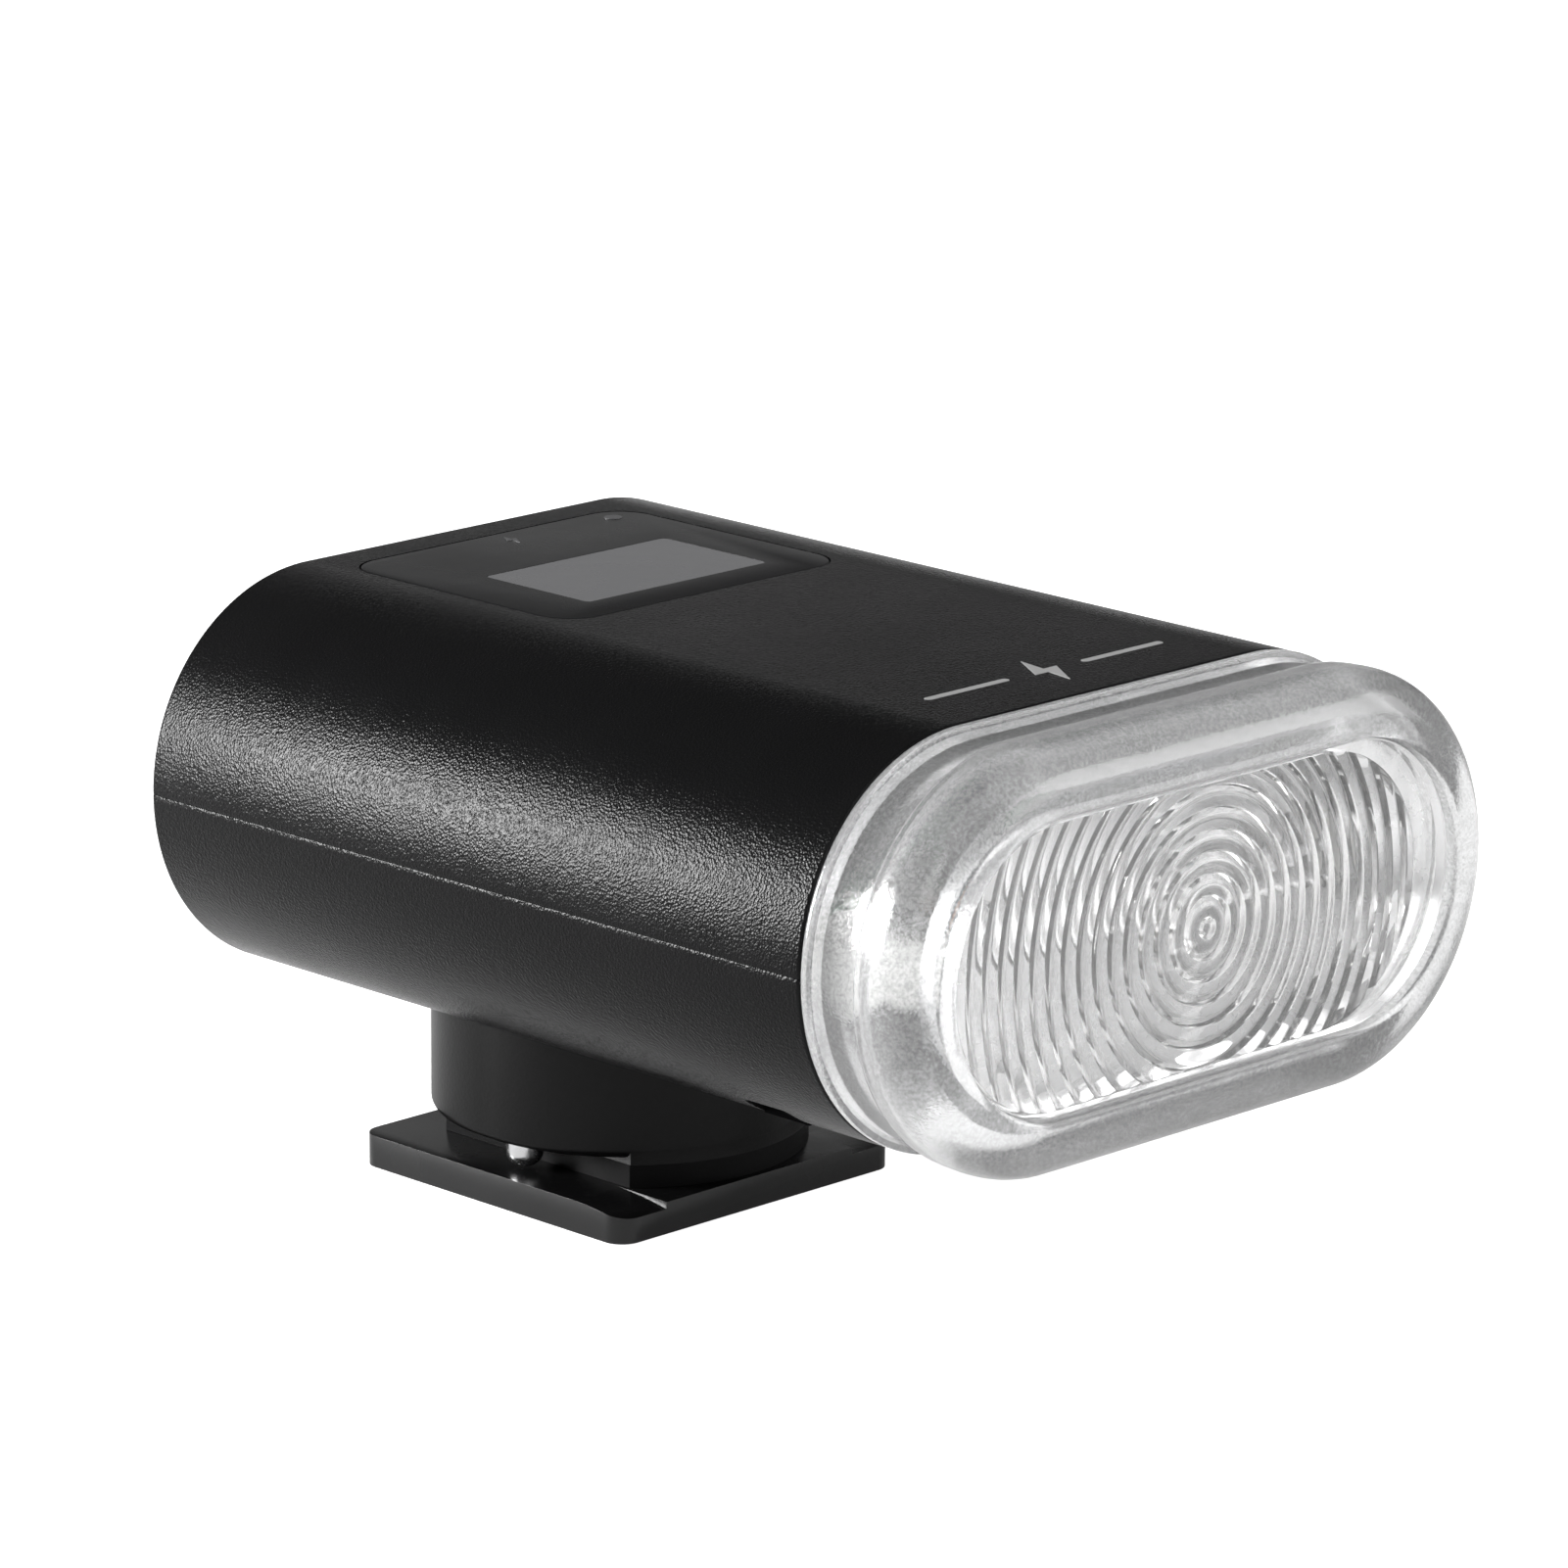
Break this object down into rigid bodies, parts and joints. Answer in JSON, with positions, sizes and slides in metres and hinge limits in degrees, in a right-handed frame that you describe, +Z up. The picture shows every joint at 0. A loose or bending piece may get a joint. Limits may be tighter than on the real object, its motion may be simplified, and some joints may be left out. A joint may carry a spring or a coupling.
{
  "type": "speedlight flash",
  "caption": "Compact hot-shoe camera flash: pill-shaped black body, clear front head, display panel on top, rear buttons, round neck on a standard accessory shoe foot.",
  "frame": {"origin": "tip of the centre contact, in the plane of the shoe foot's underside and in the middle of the foot", "axes": "+Z up; the flash fires along -Y, so +Y is the rear with the buttons; X is across the body, along its width"},
  "size_m": [0.0396, 0.0507, 0.03],
  "materials": {
    "textured_black": "fine pebble texture",
    "neck_black": "fine textured black paint",
    "foot_black": "black anodised or painted, semi-gloss",
    "button_black": "satin",
    "panel_gloss": "gloss, smoked",
    "screen_glass": "gloss",
    "lamp": "translucent",
    "clear_head": "clear, gloss",
    "mirror_coat": "metallised, bright",
    "tube_glass": "clear",
    "silicone": "matte",
    "steel": "bright",
    "brass": "bright",
    "insulator": "matte",
    "circuit_board": "solder mask",
    "component_black": "matte",
    "ferrite": "matte",
    "winding": "lacquered",
    "capacitor_can": "sleeved",
    "battery_foil": "satin"
  },
  "bodies": {
    "flash_body": {"upper_shell": "textured_black", "lower_shell": "textured_black", "rear_cover": "textured_black", "neck_mount": "neck_black", "foot_plate": "foot_black", "top_panel": "panel_gloss", "oled_module": "screen_glass", "indicator_power": "lamp", "indicator_ready": "lamp", "lens_housing": "clear_head", "fresnel_lens": "clear_head", "reflector": "mirror_coat", "flash_tube": "tube_glass", "tube_boot_left": "silicone", "tube_boot_right": "silicone", "usb_c_socket": "steel", "centre_spring": "steel", "ground_spring_left": "steel", "ground_spring_right": "steel", "cover_screw_lower_left": "steel", "cover_screw_lower_right": "steel", "cover_screw_upper_left": "steel", "cover_screw_upper_right": "steel", "neck_screw_1": "steel", "neck_screw_2": "steel", "neck_screw_3": "steel", "neck_screw_4": "steel", "foot_screw_1": "steel", "foot_screw_2": "steel", "foot_screw_3": "steel", "foot_screw_4": "steel", "board_screw_1": "steel", "board_screw_2": "steel", "contact_bush": "insulator", "main_board": "circuit_board", "display_board": "circuit_board", "switching_chip": "component_black", "switch_power": "component_black", "switch_mode": "component_black", "switch_minus": "component_black", "switch_plus": "component_black", "boost_transformer": "ferrite", "trigger_coil": "winding", "main_capacitor": "capacitor_can", "battery_cell": "battery_foil"},
    "button_power_body": {"button_power": "button_black"},
    "button_mode_body": {"button_mode": "button_black"},
    "button_minus_body": {"button_minus": "button_black"},
    "button_plus_body": {"button_plus": "button_black"},
    "centre_contact_body": {"centre_contact": "brass"},
    "ground_pin_left_body": {"ground_pin_left": "steel"},
    "ground_pin_right_body": {"ground_pin_right": "steel"}
  },
  "joints": [
    {"name": "press_power", "type": "slide", "parent": "flash_body", "child": "button_power_body", "axis": [0, -1, 0], "range_m": [0, 0.0004], "stiffness_N_per_m": 2000},
    {"name": "press_mode", "type": "slide", "parent": "flash_body", "child": "button_mode_body", "axis": [0, -1, 0], "range_m": [0, 0.0004], "stiffness_N_per_m": 2000},
    {"name": "press_minus", "type": "slide", "parent": "flash_body", "child": "button_minus_body", "axis": [0, -1, 0], "range_m": [0, 0.0004], "stiffness_N_per_m": 2000},
    {"name": "press_plus", "type": "slide", "parent": "flash_body", "child": "button_plus_body", "axis": [0, -1, 0], "range_m": [0, 0.0004], "stiffness_N_per_m": 2000},
    {"name": "centre_contact_slide", "type": "slide", "parent": "flash_body", "child": "centre_contact_body", "axis": [0, 0, 1], "range_m": [-0.0005, 0.0003], "stiffness_N_per_m": 100, "springref_m": -0.0005, "deforming": ["centre_spring"]},
    {"name": "ground_pin_left_slide", "type": "slide", "parent": "flash_body", "child": "ground_pin_left_body", "axis": [0, 0, 1], "range_m": [0, 0.0008], "stiffness_N_per_m": 300, "springref_m": -0.0005, "deforming": ["ground_spring_left"]},
    {"name": "ground_pin_right_slide", "type": "slide", "parent": "flash_body", "child": "ground_pin_right_body", "axis": [0, 0, 1], "range_m": [0, 0.0008], "stiffness_N_per_m": 300, "springref_m": -0.0005, "deforming": ["ground_spring_right"]}
  ]
}
